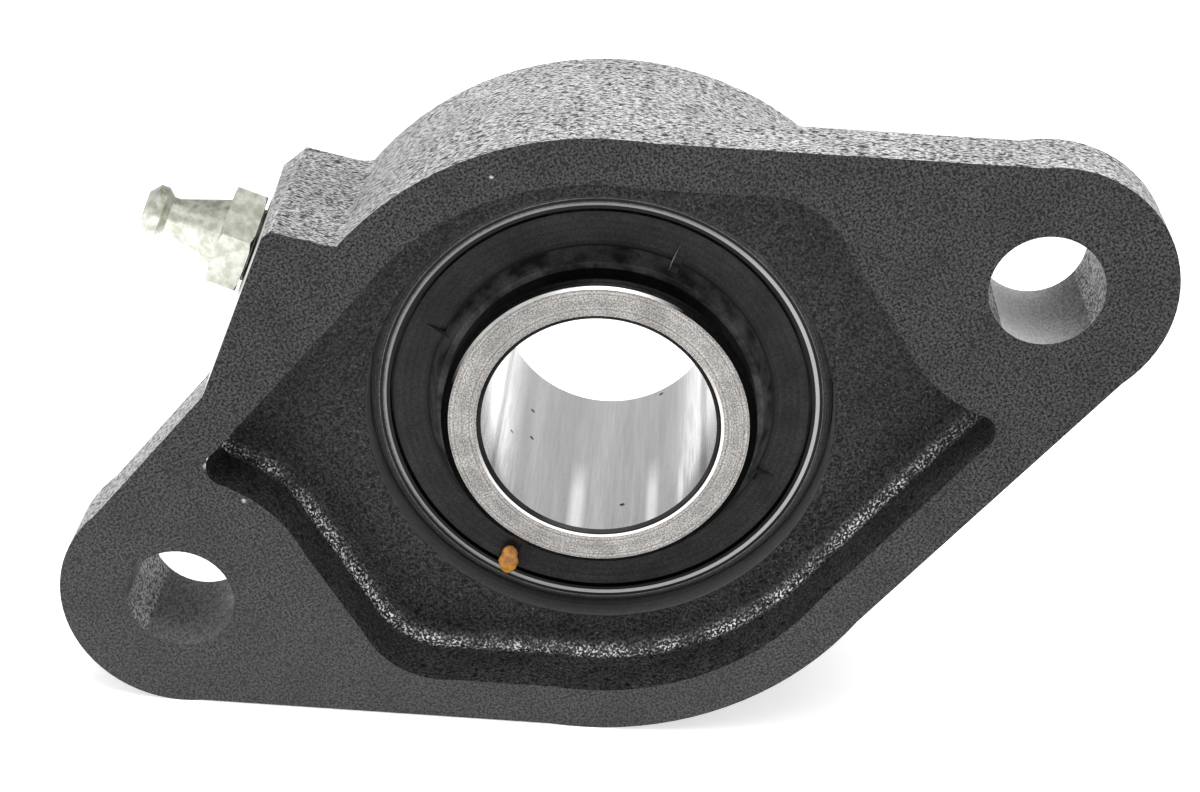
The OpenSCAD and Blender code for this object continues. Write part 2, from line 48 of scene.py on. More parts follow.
# helpers for node trees

def addNode(tree, kind, **settings):
    node = tree.nodes.new(kind)
    for name, value in settings.items():
        setattr(node, name, value)
    return node


def feed(tree, value, socket):
    # a socket takes a plain value or the output of another node
    if isinstance(value, bpy.types.NodeSocket):
        tree.links.new(value, socket)
    elif value is not None:
        socket.default_value = value


def feedAll(tree, node, values):
    for socket, value in zip(node.inputs, values):
        feed(tree, value, socket)


def maths(tree, operation, first, second=None, third=None):
    node = addNode(tree, "ShaderNodeMath", operation=operation)
    feedAll(tree, node, (first, second, third))
    return node.outputs[0]


def vectorMaths(tree, operation, first, second=None, result="Vector"):
    node = addNode(tree, "ShaderNodeVectorMath", operation=operation)
    feedAll(tree, node, (first, second))
    return node.outputs[result]


def scaled(tree, vector, size):
    node = addNode(tree, "ShaderNodeVectorMath", operation="SCALE")
    feed(tree, vector, node.inputs[0])
    feed(tree, size, node.inputs["Scale"])
    return node.outputs["Vector"]


def splitVector(tree, vector):
    node = addNode(tree, "ShaderNodeSeparateXYZ")
    feed(tree, vector, node.inputs[0])
    return node.outputs


def combine(tree, right, depth, up):
    node = addNode(tree, "ShaderNodeCombineXYZ")
    feedAll(tree, node, (right, depth, up))
    return node.outputs["Vector"]


def remap(tree, value, low, high, newLow=0.0, newHigh=1.0):
    node = addNode(tree, "ShaderNodeMapRange")
    limits = {"From Min": low, "From Max": high, "To Min": newLow, "To Max": newHigh}
    for label, limit in limits.items():
        node.inputs[label].default_value = limit
    feed(tree, value, node.inputs["Value"])
    return node.outputs["Result"]


def band(tree, value, low, high, soft):
    # 1 between two values and 0 outside them
    rise = remap(tree, value, low - soft, low)
    fall = remap(tree, value, high + soft, high)
    return maths(tree, "MULTIPLY", rise, fall)


def noise(tree, vector, grain, detail, rough):
    node = addNode(tree, "ShaderNodeTexNoise")
    node.inputs["Scale"].default_value = 1.0 / (grain * mm)
    node.inputs["Detail"].default_value = detail
    node.inputs["Roughness"].default_value = rough
    feed(tree, vector, node.inputs["Vector"])
    return node.outputs["Fac"]


def cellNoise(tree, vector, gap):
    # the distance to the nearest cell's middle, and three chances of that cell
    node = addNode(tree, "ShaderNodeTexVoronoi", feature="F1")
    node.inputs["Scale"].default_value = 1.0 / (gap * mm)
    feed(tree, vector, node.inputs["Vector"])
    return node.outputs["Distance"], splitVector(tree, node.outputs["Color"])


def mixColour(tree, factor, first, second):
    node = addNode(tree, "ShaderNodeMix", data_type="RGBA")
    feed(tree, factor, node.inputs[0])
    for socket, value in ((node.inputs[6], first), (node.inputs[7], second)):
        feed(tree, (*value, 1.0) if isinstance(value, tuple) else value, socket)
    return node.outputs[2]


def grey(level, warm=0.0):
    # a grey as it looks on screen, 0 to 255, a little warmer or cooler
    value = (level / 255.0) ** screenGamma
    return (value * (1.0 + warm), value, value * (1.0 - warm))


def startGroup(name, inputs, outputs):
    # the input called Vector takes a vector, and the others are numbers
    tree = bpy.data.node_groups.new(name, "ShaderNodeTree")
    for label in inputs:
        kind = "NodeSocketVector" if label == "Vector" else "NodeSocketFloat"
        tree.interface.new_socket(name=label, in_out="INPUT", socket_type=kind)
    for label in outputs:
        tree.interface.new_socket(name=label, in_out="OUTPUT", socket_type="NodeSocketFloat")
    return tree, addNode(tree, "NodeGroupInput").outputs, addNode(tree, "NodeGroupOutput").inputs


# surface patterns; a noise is (size in mm, detail, roughness)

# sand-cast skin: lumps, grains that run round the casting, blotches and small pits
castSkinSpec = {"lump": (2.6, 2.0, 0.5), "grain": (0.42, 3.0, 0.7), "blotch": (9.0, 3.0, 0.55),
                "grainRange": (0.42, 0.58), "pitGap": 1.7, "pitEdge": (0.3, 0.17), "pitChance": 0.55,
                "lumpHeight": 0.55, "grainHeight": 0.5, "pitDepth": 0.2}


def makeCastSkin(spec):
    tree, start, end = startGroup("castSkin", ("Vector", "Fineness", "Stretch"),
                                  ("Height", "Grain", "Blotch", "Pit"))
    vector = scaled(tree, start["Vector"], start["Fineness"])
    rows = vectorMaths(tree, "MULTIPLY", vector, combine(tree, 1.0, start["Stretch"], 1.0))
    lumps = noise(tree, vector, *spec["lump"])
    grains = noise(tree, rows, *spec["grain"])
    distance, chance = cellNoise(tree, rows, spec["pitGap"])
    pit = maths(tree, "MULTIPLY", remap(tree, distance, *spec["pitEdge"]),
                maths(tree, "GREATER_THAN", chance["X"], spec["pitChance"]))
    height = maths(tree, "MULTIPLY_ADD", lumps, spec["lumpHeight"],
                   maths(tree, "MULTIPLY", grains, spec["grainHeight"]))
    height = maths(tree, "SUBTRACT", height, maths(tree, "MULTIPLY", pit, spec["pitDepth"]))
    feed(tree, height, end["Height"])
    feed(tree, remap(tree, grains, *spec["grainRange"]), end["Grain"])
    feed(tree, noise(tree, vector, *spec["blotch"]), end["Blotch"])
    feed(tree, pit, end["Pit"])
    return tree


# tool marks that run round the shaft axis, on faces and on walls, counted in pitches
turnedLinesSpec = {"line": (1.0 / mm, 2.0, 0.5), "lineRange": (0.35, 0.65)}


def makeTurnedLines(spec):
    tree, start, end = startGroup("turnedLines", ("Vector", "Pitch"),
                                  ("Height", "Line", "Radius", "Right", "Up"))
    split = splitVector(tree, start["Vector"])
    squares = maths(tree, "MULTIPLY_ADD", split["X"], split["X"],
                    maths(tree, "MULTIPLY", split["Z"], split["Z"]))
    radius = maths(tree, "SQRT", squares)
    path = maths(tree, "ADD", radius, split["Y"])
    rows = combine(tree, maths(tree, "DIVIDE", path, start["Pitch"]), 0.0, 0.0)
    lines = noise(tree, rows, *spec["line"])
    feed(tree, lines, end["Height"])
    feed(tree, remap(tree, lines, *spec["lineRange"]), end["Line"])
    feed(tree, maths(tree, "DIVIDE", radius, mm), end["Radius"])
    feed(tree, maths(tree, "DIVIDE", split["X"], radius), end["Right"])
    feed(tree, maths(tree, "DIVIDE", split["Z"], radius), end["Up"])
    return tree


# dry smears, dust and handling marks
smearsSpec = {"broad": (6.0, 4.0, 0.6), "fine": (0.35, 2.0, 0.5), "smearRange": (0.38, 0.62),
              "fleckRange": (0.64, 0.72), "speckleRange": (0.36, 0.64)}


def makeSmears(spec):
    tree, start, end = startGroup("smears", ("Vector", "Fineness"), ("Smear", "Fleck", "Speckle"))
    vector = scaled(tree, start["Vector"], start["Fineness"])
    broad = noise(tree, vector, *spec["broad"])
    fine = noise(tree, vector, *spec["fine"])
    feed(tree, remap(tree, broad, *spec["smearRange"]), end["Smear"])
    feed(tree, remap(tree, fine, *spec["fleckRange"]), end["Fleck"])
    feed(tree, remap(tree, fine, *spec["speckleRange"]), end["Speckle"])
    return tree


groups = {
    "castSkin": makeCastSkin(castSkinSpec),
    "turnedLines": makeTurnedLines(turnedLinesSpec),
    "smears": makeSmears(smearsSpec),
}
print("patterns ready:", len(groups))


# materials

def useGroup(tree, name, vector, **values):
    node = addNode(tree, "ShaderNodeGroup", node_tree=groups[name])
    feed(tree, vector, node.inputs["Vector"])
    for label, value in values.items():
        node.inputs[label].default_value = value
    return node.outputs


def startMaterial(name, metallic, shine=0.5):
    material = bpy.data.materials.new(name)
    material.use_nodes = True
    tree = material.node_tree
    shader = tree.nodes["Principled BSDF"].inputs
    shader["Metallic"].default_value = metallic
    shader["Specular IOR Level"].default_value = shine
    place = addNode(tree, "ShaderNodeTexCoord").outputs["Object"]
    return material, tree, shader, place


def addBump(tree, shader, height, distance):
    bump = addNode(tree, "ShaderNodeBump")
    bump.inputs["Strength"].default_value = 1.0
    bump.inputs["Distance"].default_value = distance * mm
    feed(tree, height, bump.inputs["Height"])
    feed(tree, bump.outputs["Normal"], shader["Normal"])


# shared by all cast finishes
castLook = {
    "blotchRange": (0.42, 0.64), "roughGrain": (0.12, -0.08),
    "patch": (5.5, 2.0, 0.6), "patchRange": (0.42, 0.6, 0.18, 1.0), "sparkleRange": (0.55, 1.0),
    "polish": 0.12,
    "driftWay": (-0.45, -0.9), "driftReach": (-5.0, 38.0), "driftShade": 128,
    "highlightCore": 0.4, "highlightGrain": (0.35, 1.0), "highlightShade": 250,
    "rampSoft": 0.01, "rampShare": 0.72,
}


def castMaterial(name, spec):
    look = castLook
    material, tree, shader, place = startMaterial(name, spec["metal"], spec["shine"])
    skin = useGroup(tree, "castSkin", place, Fineness=spec["fine"], Stretch=spec["stretch"])
    marks = useGroup(tree, "smears", place, Fineness=spec["fine"])
    split = splitVector(tree, place)
    colour = mixColour(tree, skin["Grain"], grey(spec["dark"]), grey(spec["pale"]))
    soft = maths(tree, "MULTIPLY", remap(tree, skin["Blotch"], *look["blotchRange"]), spec["blotch"])
    colour = mixColour(tree, soft, colour, grey(spec["dark"]))
    colour = mixColour(tree, skin["Pit"], colour, grey(spec["pit"]))
    roughs = [spec["rough"] + change for change in look["roughGrain"]]
    rough = remap(tree, skin["Grain"], 0.0, 1.0, *roughs)
    if "fleck" in spec:
        colour = mixColour(tree, marks["Fleck"], colour, grey(spec["fleck"]))
    if "glint" in spec:
        # a painted highlight along the hollow's fillet, in patches, where the fillet is also a little
        # smoother
        low, high, edge, level = spec["glint"]
        strip = band(tree, maths(tree, "DIVIDE", split["Y"], mm), low, high, edge)
        patchy = remap(tree, noise(tree, place, *look["patch"]), *look["patchRange"])
        strip = maths(tree, "MULTIPLY", strip, patchy)
        sparkle = remap(tree, marks["Speckle"], *look["sparkleRange"])
        colour = mixColour(tree, maths(tree, "MULTIPLY", strip, sparkle), colour, grey(level))
        rough = maths(tree, "SUBTRACT", rough, maths(tree, "MULTIPLY", strip, look["polish"]))
    if "drift" in spec:
        # paler towards the lower left of the mounting face
        right, up = look["driftWay"]
        toLeft = maths(tree, "MULTIPLY_ADD", split["X"], right, maths(tree, "MULTIPLY", split["Z"], up))
        slope = remap(tree, maths(tree, "DIVIDE", toLeft, mm), *look["driftReach"], 0.0, spec["drift"])
        colour = mixColour(tree, slope, colour, grey(look["driftShade"]))
    for right, up, size in spec.get("highlightDots", ()):
        # painted highlights: small bright spots where the mounting face's edges catch the light
        away = vectorMaths(tree, "DISTANCE", place, (right * mm, 0.0, up * mm), "Value")
        highlightDot = remap(tree, away, size * mm, look["highlightCore"] * size * mm)
        highlightDot = maths(tree, "MULTIPLY", highlightDot, remap(tree, skin["Grain"], 0.0, 1.0, *look["highlightGrain"]))
        colour = mixColour(tree, highlightDot, colour, grey(look["highlightShade"]))
    for low, high, first, last in spec.get("ramps", ()):
        # painted light and shade on the bolt holes' walls, changing slowly along the bolt line
        along = maths(tree, "DIVIDE", split["X"], mm)
        inside = band(tree, along, min(low, high), max(low, high), look["rampSoft"])
        shade = mixColour(tree, remap(tree, along, low, high), grey(first), grey(last))
        colour = mixColour(tree, maths(tree, "MULTIPLY", inside, look["rampShare"]), colour, shade)
    feed(tree, colour, shader["Base Color"])
    feed(tree, rough, shader["Roughness"])
    addBump(tree, shader, skin["Height"], spec["bump"])
    return material


# shared by all turned finishes
turnedLook = {"smearShare": 0.25, "bandSoft": 0.06, "grimeEdge": 0.3, "grimeShade": 12,
              "roughSmear": (-0.05, 0.08)}


def turnedMaterial(name, spec):
    look = turnedLook
    material, tree, shader, place = startMaterial(name, spec["metal"], spec.get("shine", 0.5))
    lines = useGroup(tree, "turnedLines", place, Pitch=spec["pitch"] * mm)
    marks = useGroup(tree, "smears", place, Fineness=spec.get("fine", 1.0))
    warm = spec.get("warm", 0.0)
    colour = mixColour(tree, lines["Line"], grey(spec["dark"], warm), grey(spec["pale"], warm))
    for share in (maths(tree, "MULTIPLY", marks["Speckle"], spec["speckle"]),
                  maths(tree, "MULTIPLY", marks["Smear"], look["smearShare"])):
        colour = mixColour(tree, share, colour, grey(spec["stain"], warm))
    # rings round the axis, fading to one side where given: painted highlights and painted shade lines at
    # edges and gaps
    for low, high, level, side in spec.get("bands", ()):
        strip = band(tree, lines["Radius"], low, high, look["bandSoft"])
        if side:
            toward = maths(tree, "MULTIPLY_ADD", lines["Right"], side[0],
                           maths(tree, "MULTIPLY", lines["Up"], side[1]))
            strip = maths(tree, "MULTIPLY", strip, remap(tree, toward, side[2], side[3]))
        colour = mixColour(tree, strip, colour, grey(level, warm))
    if "grime" in spec:
        # a painted shadow on the pad under the nipple's hexagon
        offset = vectorMaths(tree, "SUBTRACT", place, spec["grime"]["start"])
        cross = vectorMaths(tree, "CROSS_PRODUCT", offset, spec["grime"]["axis"])
        away = vectorMaths(tree, "LENGTH", cross, result="Value")
        reach = spec["grime"]["radius"] * mm
        spot = remap(tree, away, reach, reach - look["grimeEdge"] * mm)
        colour = mixColour(tree, spot, colour, grey(look["grimeShade"]))
    feed(tree, colour, shader["Base Color"])
    roughs = [spec["rough"] + change for change in look["roughSmear"]]
    feed(tree, remap(tree, marks["Smear"], 0.0, 1.0, *roughs), shader["Roughness"])
    addBump(tree, shader, lines["Height"], spec["bump"])
    return material


def boreMaterial(name, spec):
    # ground along the shaft, with painted streaks of reflected light and of shade along it that fade out
    # deeper in the bore, and a few specks of dirt
    material, tree, shader, place = startMaterial(name, 1.0)
    split = splitVector(tree, place)
    squeezed = maths(tree, "MULTIPLY", split["Y"], spec["squeeze"])
    along = combine(tree, split["X"], squeezed, split["Z"])
    broad = remap(tree, noise(tree, along, *spec["broad"]), *spec["range"])
    brush = remap(tree, noise(tree, along, *spec["brush"]), *spec["range"])
    colour = mixColour(tree, broad, grey(spec["dark"]), grey(spec["pale"]))
    colour = mixColour(tree, maths(tree, "MULTIPLY", brush, spec["brushShare"]), colour, grey(spec["stain"]))
    depth = maths(tree, "DIVIDE", split["Y"], mm)
    for angle, wide, level, far, strength in spec["runs"]:
        right, up = math.cos(math.radians(angle)), math.sin(math.radians(angle))
        across = maths(tree, "SUBTRACT", maths(tree, "MULTIPLY", split["Z"], right),
                       maths(tree, "MULTIPLY", split["X"], up))
        across = maths(tree, "DIVIDE", maths(tree, "ABSOLUTE", across), wide * mm)
        toward = maths(tree, "MULTIPLY_ADD", split["X"], right, maths(tree, "MULTIPLY", split["Z"], up))
        run = maths(tree, "MULTIPLY", remap(tree, across, *spec["streakEdge"]),
                    remap(tree, depth, far, far - spec["streakFade"]))
        run = maths(tree, "MULTIPLY", run, maths(tree, "GREATER_THAN", toward, 0.0))
        colour = mixColour(tree, maths(tree, "MULTIPLY", run, strength), colour, grey(level))
    distance, chance = cellNoise(tree, place, spec["speckGap"])
    speck = maths(tree, "MULTIPLY", remap(tree, distance, *spec["speckEdge"]),
                  maths(tree, "GREATER_THAN", chance["Y"], spec["speckChance"]))
    feed(tree, mixColour(tree, speck, colour, grey(spec["speckShade"])), shader["Base Color"])
    feed(tree, remap(tree, brush, 0.0, 1.0, *spec["rough"]), shader["Roughness"])
    addBump(tree, shader, brush, spec["bump"])
    return material


# shared by all smooth finishes
smoothLook = {"speckle": 0.15, "skinFineness": 2.0, "blotchRange": (0.3, 0.7), "roughBlotch": (-0.06, 0.1)}


def smoothMaterial(name, spec):
    look = smoothLook
    material, tree, shader, place = startMaterial(name, spec["metal"], spec.get("shine", 0.5))
    fineness = spec.get("fine", 1.0)
    marks = useGroup(tree, "smears", place, Fineness=fineness)
    skin = useGroup(tree, "castSkin", place, Fineness=fineness * look["skinFineness"], Stretch=1.0)
    colour = mixColour(tree, marks["Smear"], spec["dark"], spec["pale"])
    speckle = maths(tree, "MULTIPLY", marks["Speckle"], spec.get("speckle", look["speckle"]))
    colour = mixColour(tree, speckle, colour, spec["dark"])
    if "shadedSide" in spec:
        # painted shade: faces that point towards the given side are darker and olive, and less metallic
        shadedSide = spec["shadedSide"]
        normal = addNode(tree, "ShaderNodeNewGeometry").outputs["Normal"]
        toward = vectorMaths(tree, "DOT_PRODUCT", normal, shadedSide["side"], "Value")
        share = remap(tree, toward, shadedSide["from"], shadedSide["to"])
        olive = mixColour(tree, marks["Smear"], shadedSide["dark"], shadedSide["pale"])
        colour = mixColour(tree, share, colour, olive)
        metal = maths(tree, "MULTIPLY_ADD", share, shadedSide["metal"] - spec["metal"], spec["metal"])
        feed(tree, metal, shader["Metallic"])
    feed(tree, colour, shader["Base Color"])
    roughs = [spec["rough"] + change for change in look["roughBlotch"]]
    feed(tree, remap(tree, skin["Blotch"], *look["blotchRange"], *roughs), shader["Roughness"])
    addBump(tree, shader, skin["Height"], spec["bump"])
    return material


# dark, pale, pit, stain and fleck are grey levels, 0 to 255; bump and pitch are in mm
# bright spots, painted highlights: right, up, size; the fillet's painted highlight: depths from and to, soft
# edge, level; ramps, painted light and shade: from, to, levels
castSpecs = {
    "castOuter": {"dark": 22, "pale": 204, "pit": 14, "blotch": 0.15, "fine": 0.72, "stretch": 2.2,
                  "rough": 0.62, "bump": 0.14, "metal": 0.15, "shine": 0.4},
    "castFace": {"dark": 6, "pale": 79, "pit": 34, "blotch": 0.2, "fine": 1.3, "stretch": 1.0,
                 "rough": 0.6, "bump": 0.03, "metal": 0.0, "shine": 0.25, "drift": 0.1,
                 "highlightDots": ((-46.5, 16.1, 0.5), (-45.8, 16.8, 0.35), (-40.2, 19.1, 0.35), (-41.3, 18.5, 0.4),
                           (-44.3, 9.9, 0.35), (2.7, 38.1, 0.28), (20.5, 28.4, 0.25))},
    "castHollow": {"dark": 2, "pale": 64, "pit": 8, "blotch": 0.35, "fine": 1.1, "stretch": 1.0,
                   "rough": 0.5, "bump": 0.14, "metal": 0.0, "shine": 0.24, "fleck": 100,
                   "glint": (8.35, 9.0, 0.75, 250)},
    # a darker copy of the outer cast finish, painted shade on the faces beside the pad
    "castPaintedShade": {"dark": 14, "pale": 174, "pit": 10, "blotch": 0.15, "fine": 0.72, "stretch": 2.2,
                  "rough": 0.62, "bump": 0.14, "metal": 0.15, "shine": 0.4},
    "boltHole": {"dark": 60, "pale": 170, "pit": 40, "blotch": 0.2, "fine": 1.4, "stretch": 0.5,
                 "rough": 0.5, "bump": 0.04, "metal": 0.4, "shine": 0.4,
                 "ramps": ((52.0, 62.0, 225, 60), (-52.0, -65.0, 105, 75))},
}
# bands: radii from and to, level, and the side they fade to as (right, up, from, to)
turnedSpecs = {
    "machined": {"dark": 150, "pale": 205, "stain": 110, "speckle": 0.3, "pitch": 0.35,
                 "rough": 0.38, "bump": 0.012, "metal": 0.9},
    "padFace": {"dark": 205, "pale": 240, "stain": 150, "speckle": 0.3, "pitch": 0.35,
                "rough": 0.4, "bump": 0.008, "metal": 0.9,
                "grime": {"start": (0.0, 0.022522, 0.0), "axis": (-0.7064338, -0.0436194, 0.7064338),
                          "radius": 6.0}},
    # the bright band at the ring's outer edge is a painted highlight on its upper side
    "innerOutside": {"dark": 18, "pale": 54, "stain": 14, "speckle": 0.5, "pitch": 0.22, "warm": 0.01,
                     "rough": 0.34, "bump": 0.004, "metal": 1.0,
                     "bands": ((19.1, 19.42, 250, (0.05, 1.0, 0.6, 0.9)),)},
    # the dark band at the collar's foot is painted shade
    "slingerFace": {"dark": 44, "pale": 68, "stain": 4, "speckle": 0.6, "pitch": 0.9, "rough": 0.4,
                    "bump": 0.01, "metal": 0.0, "fine": 1.6, "shine": 0.15,
                    "bands": ((22.1, 22.5, 5, None),)},
    "groundSteel": {"dark": 120, "pale": 196, "stain": 90, "speckle": 0.55, "pitch": 0.22, "warm": 0.03,
                    "rough": 0.3, "bump": 0.004, "metal": 1.0, "fine": 1.6},
    # the bright band at the bore's edge is a painted highlight on the lower side
    "ringFace": {"dark": 146, "pale": 192, "stain": 70, "speckle": 0.75, "pitch": 0.25, "warm": 0.04,
                 "rough": 0.34, "bump": 0.004, "metal": 1.0, "fine": 1.7,
                 "bands": ((15.3, 15.52, 26, None), (15.62, 15.9, 244, (0.0, -1.0, -0.3, 0.5)))},
    # the dark bands at 27.0 and 28.25 mm are painted shade in the gaps beside the ring, the bright bands are
    # painted highlights, brightest to the lower right, and the pale base is painted light that lifts the
    # shade at the chamfer
    "outerFace": {"dark": 105, "pale": 160, "stain": 18, "speckle": 0.5, "pitch": 0.3,
                  "rough": 0.4, "bump": 0.004, "metal": 0.25, "shine": 0.3,
                  "bands": ((27.0, 27.74, 8, None), (27.78, 28.0, 150, None),
                            (27.76, 28.2, 190, (0.6, -0.8, -0.3, 0.5)), (28.25, 28.6, 14, None))},
}
# painted streaks, bright ones of reflected light and dark ones of shade: angle, width, level, how deep they
# reach, strength
boreSpec = {"dark": 176, "pale": 208, "stain": 170, "rough": (0.2, 0.3), "bump": 0.002,
            "squeeze": 0.05, "broad": (4.0, 3.0, 0.55), "brush": (0.4, 2.0, 0.6), "range": (0.35, 0.65),
            "brushShare": 0.3, "streakEdge": (1.0, 0.3), "streakFade": 9.0,
            "runs": ((-125.0, 1.3, 255, 25.0, 1.0), (-86.0, 1.1, 255, 24.0, 1.0),
                     (-68.5, 0.6, 250, 20.0, 0.9), (-187.0, 1.8, 250, 60.0, 0.8),
                     (-49.0, 1.4, 70, 60.0, 0.7), (-178.0, 0.8, 120, 60.0, 0.6)),
            "speckGap": 5.5, "speckEdge": (0.075, 0.05), "speckChance": 0.35, "speckShade": 30}
smoothSpecs = {
    "ballSteel": {"dark": grey(205), "pale": grey(220), "rough": 0.12, "metal": 1.0, "bump": 0.001},
    "sheetSteel": {"dark": grey(150), "pale": grey(180), "rough": 0.35, "metal": 1.0, "bump": 0.01},
    "springSteel": {"dark": grey(120), "pale": grey(150), "rough": 0.35, "metal": 1.0, "bump": 0.005},
    "rubber": {"dark": grey(20), "pale": grey(34), "rough": 0.6, "metal": 0.0, "bump": 0.01, "shine": 0.3},
    # a lighter copy of the slinger's black, painted light on the collar's faces that lie in shade
    "collarPaintedLight": {"dark": grey(40), "pale": grey(100), "rough": 0.42, "metal": 0.0, "bump": 0.02,
                   "shine": 0.2, "fine": 2.0, "speckle": 0.6},
    # a painted highlight on one side of a rib
    "ribGlint": {"dark": grey(215), "pale": grey(255), "rough": 0.4, "metal": 0.0, "bump": 0.02,
                 "fine": 3.0, "speckle": 0.9},
    "blackOxide": {"dark": grey(34), "pale": grey(52), "rough": 0.42, "metal": 0.7, "bump": 0.01},
    "darkEdge": {"dark": grey(16), "pale": grey(44), "rough": 0.4, "metal": 0.5, "bump": 0.01},
    "phosphated": {"dark": grey(18), "pale": grey(40), "rough": 0.5, "metal": 0.3, "bump": 0.01},
    "zinc": {"dark": (0.46, 0.47, 0.4), "pale": (0.72, 0.74, 0.66), "rough": 0.3, "metal": 0.9,
             "bump": 0.008, "fine": 5.0, "speckle": 0.35,
             # painted shade: darker, olive and less metallic on faces towards the given side
             "shadedSide": {"side": (0.707, 0.0, 0.707), "from": 0.35, "to": 0.72, "metal": 0.1,
                      "dark": (0.11, 0.115, 0.08), "pale": (0.23, 0.235, 0.195)}},
}
finishes = {"boreSteel": boreMaterial("honedBore", boreSpec)}
for make, specs in ((castMaterial, castSpecs), (turnedMaterial, turnedSpecs), (smoothMaterial, smoothSpecs)):
    for name, spec in specs.items():
        finishes[name] = make(name, spec)
print("materials ready:", len(finishes))


# CAD nodes, copied, merged and finished

# merge in mm, sharp in degrees
dressSpec = {"merge": 0.002, "normalWeight": 80, "sharp": 32.0, "castSharp": 35.0}


def addObject(name, data):
    made = bpy.data.objects.new(name, data)
    bpy.context.scene.collection.objects.link(made)
    return made


def shadeSmooth(build, sharp):
    for face in build.faces:
        face.smooth = True
    for edge in build.edges:
        edge.smooth = len(edge.link_faces) == 2 and edge.calc_face_angle(0.0) < math.radians(sharp)


def dressNode(node, piece, choose, names, body, sharp=dressSpec["sharp"]):
    # a merged copy of the node's mesh with its own finishes; the CAD node stays for the physics
    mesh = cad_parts[node].data.copy()
    mesh.name = piece
    mesh.materials.clear()
    for name in names:
        mesh.materials.append(finishes[name])
    build = bmesh.new()
    build.from_mesh(mesh)
    bmesh.ops.remove_doubles(build, verts=build.verts, dist=dressSpec["merge"] * mm)
    build.normal_update()
    for face in build.faces:
        face.material_index = names.index(choose(face.calc_center_median() / mm, face.normal))
    shadeSmooth(build, sharp)
    build.to_mesh(mesh)
    build.free()
    made = addObject(piece, mesh)
    weigh = made.modifiers.new("evenNormals", "WEIGHTED_NORMAL")
    weigh.keep_sharp = True
    weigh.weight = dressSpec["normalWeight"]
    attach(made, body)
    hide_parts(node)


# where each finish goes: lengths in mm, and a lean is one part of the face's normal, 0 to 1
flatLean = 0.9
padNormal = Vector((-0.70643, -0.04362, 0.70643))
castingMap = {
    "near": 0.02, "close": 0.05,
    "flankNormal": (0.435897, 0.9), "flankOff": 41.0,
    "boltX": 58.5, "boltR": 7.3, "boltLean": 0.5, "postR": 9.0,
    "hollowDepth": 10.0, "hollowR": 38.0, "hollowX": 18.0, "hollowWall": 3.5, "hollowReach": 55.0,
    "seatR": 31.6, "seatFrom": 9.5, "hubH": 34.5, "spotH": 15.9,
    "padMatch": 0.9995, "padR": 44.0,
    "pipeR": (25.0, 46.5), "pipeY": (14.0, 27.0), "pipeWide": 5.2,
    "shadeX": -16.0, "shadeZ": 16.0, "shadeR": 37.0, "shadeLean": 0.3,
}


def castingRegion(centre, normal):
    spec = castingMap
    x, y, z = abs(centre.x), centre.y, abs(centre.z)
    radius = math.hypot(x, z)
    boltR = math.hypot(x - spec["boltX"], z)
    inset = spec["flankOff"] - (x * spec["flankNormal"][0] + z * spec["flankNormal"][1])
    if boltR < spec["boltR"] and abs(normal.y) < spec["boltLean"]:
        return "boltHole"
    if y < spec["near"] and normal.y < -flatLean:
        return "castFace"
    inside = radius < spec["hollowR"] or x > spec["hollowX"] and inset > spec["hollowWall"]
    low = y < spec["hollowDepth"] + spec["close"]
    if low and radius < spec["hollowReach"] and inside and boltR > spec["postR"]:
        return "castHollow"
    seat = radius < spec["seatR"] and y > spec["seatFrom"]
    hubTop = y > spec["hubH"] - spec["near"] and normal.y > flatLean
    spotFace = abs(y - spec["spotH"]) < spec["close"] and normal.y > flatLean
    if seat or hubTop or spotFace:
        return "machined"
    if normal.dot(padNormal) > spec["padMatch"] and radius > spec["padR"]:
        return "padFace"
    # walls of the nipple's hole and of the passage to the seat
    towards = centre.x < 0 and abs(centre.x + centre.z) < spec["pipeWide"]
    (nearR, farR), (lowY, highY) = spec["pipeR"], spec["pipeY"]
    if towards and nearR < radius < farR and lowY < y < highY:
        return "machined"
    # faces beside the pad get the darker copy of the outer finish, painted shade
    beside = centre.x < spec["shadeX"] and centre.z > spec["shadeZ"] and radius > spec["shadeR"]
    return "castPaintedShade" if beside and normal.x > spec["shadeLean"] else "castOuter"


innerMap = {"boreR": 15.5, "boreLean": 0.4, "edgeLean": 0.95, "collarR": 19.0, "collarEnd": 22.0}


def innerRegion(centre, normal):
    spec = innerMap
    radius = math.hypot(centre.x, centre.z)
    lean = abs(normal.y)
    if radius < spec["boreR"] and lean < spec["edgeLean"]:
        return "boreSteel" if lean < spec["boreLean"] else "darkEdge"
    if lean < flatLean and radius > spec["collarR"] and centre.y < spec["collarEnd"]:
        return "innerOutside"
    return "ringFace" if lean > flatLean else "groundSteel"


outerMap = {"mouthR": 30.4, "middle": 22.3, "sealFrom": 6.5}


def outerRegion(centre, normal):
    spec = outerMap
    mouth = math.hypot(centre.x, centre.z) < spec["mouthR"]
    return "outerFace" if mouth and abs(centre.y - spec["middle"]) > spec["sealFrom"] else "groundSteel"


nippleMap = {"threadEnd": 49.0}


def nippleRegion(centre, normal):
    # below its hexagon the nipple is near-black, painted shade in the gap over the pad
    return "darkEdge" if centre.dot(padNormal) < nippleMap["threadEnd"] else "zinc"


slingerMap = {"ribLean": 0.7, "faceR": 22.0}


def slingerRegion(centre, normal):
    radius = math.hypot(centre.x, centre.z)
    across = normal.z * centre.x / radius - normal.x * centre.z / radius
    # one side of the upper right rib gets a painted highlight
    if across > slingerMap["ribLean"] and centre.x > 0 and centre.z > 0:
        return "ribGlint"
    # the collar's faces get the lighter copy of the black, painted light
    return "slingerFace" if abs(normal.y) > flatLean and radius > slingerMap["faceR"] else "collarPaintedLight"


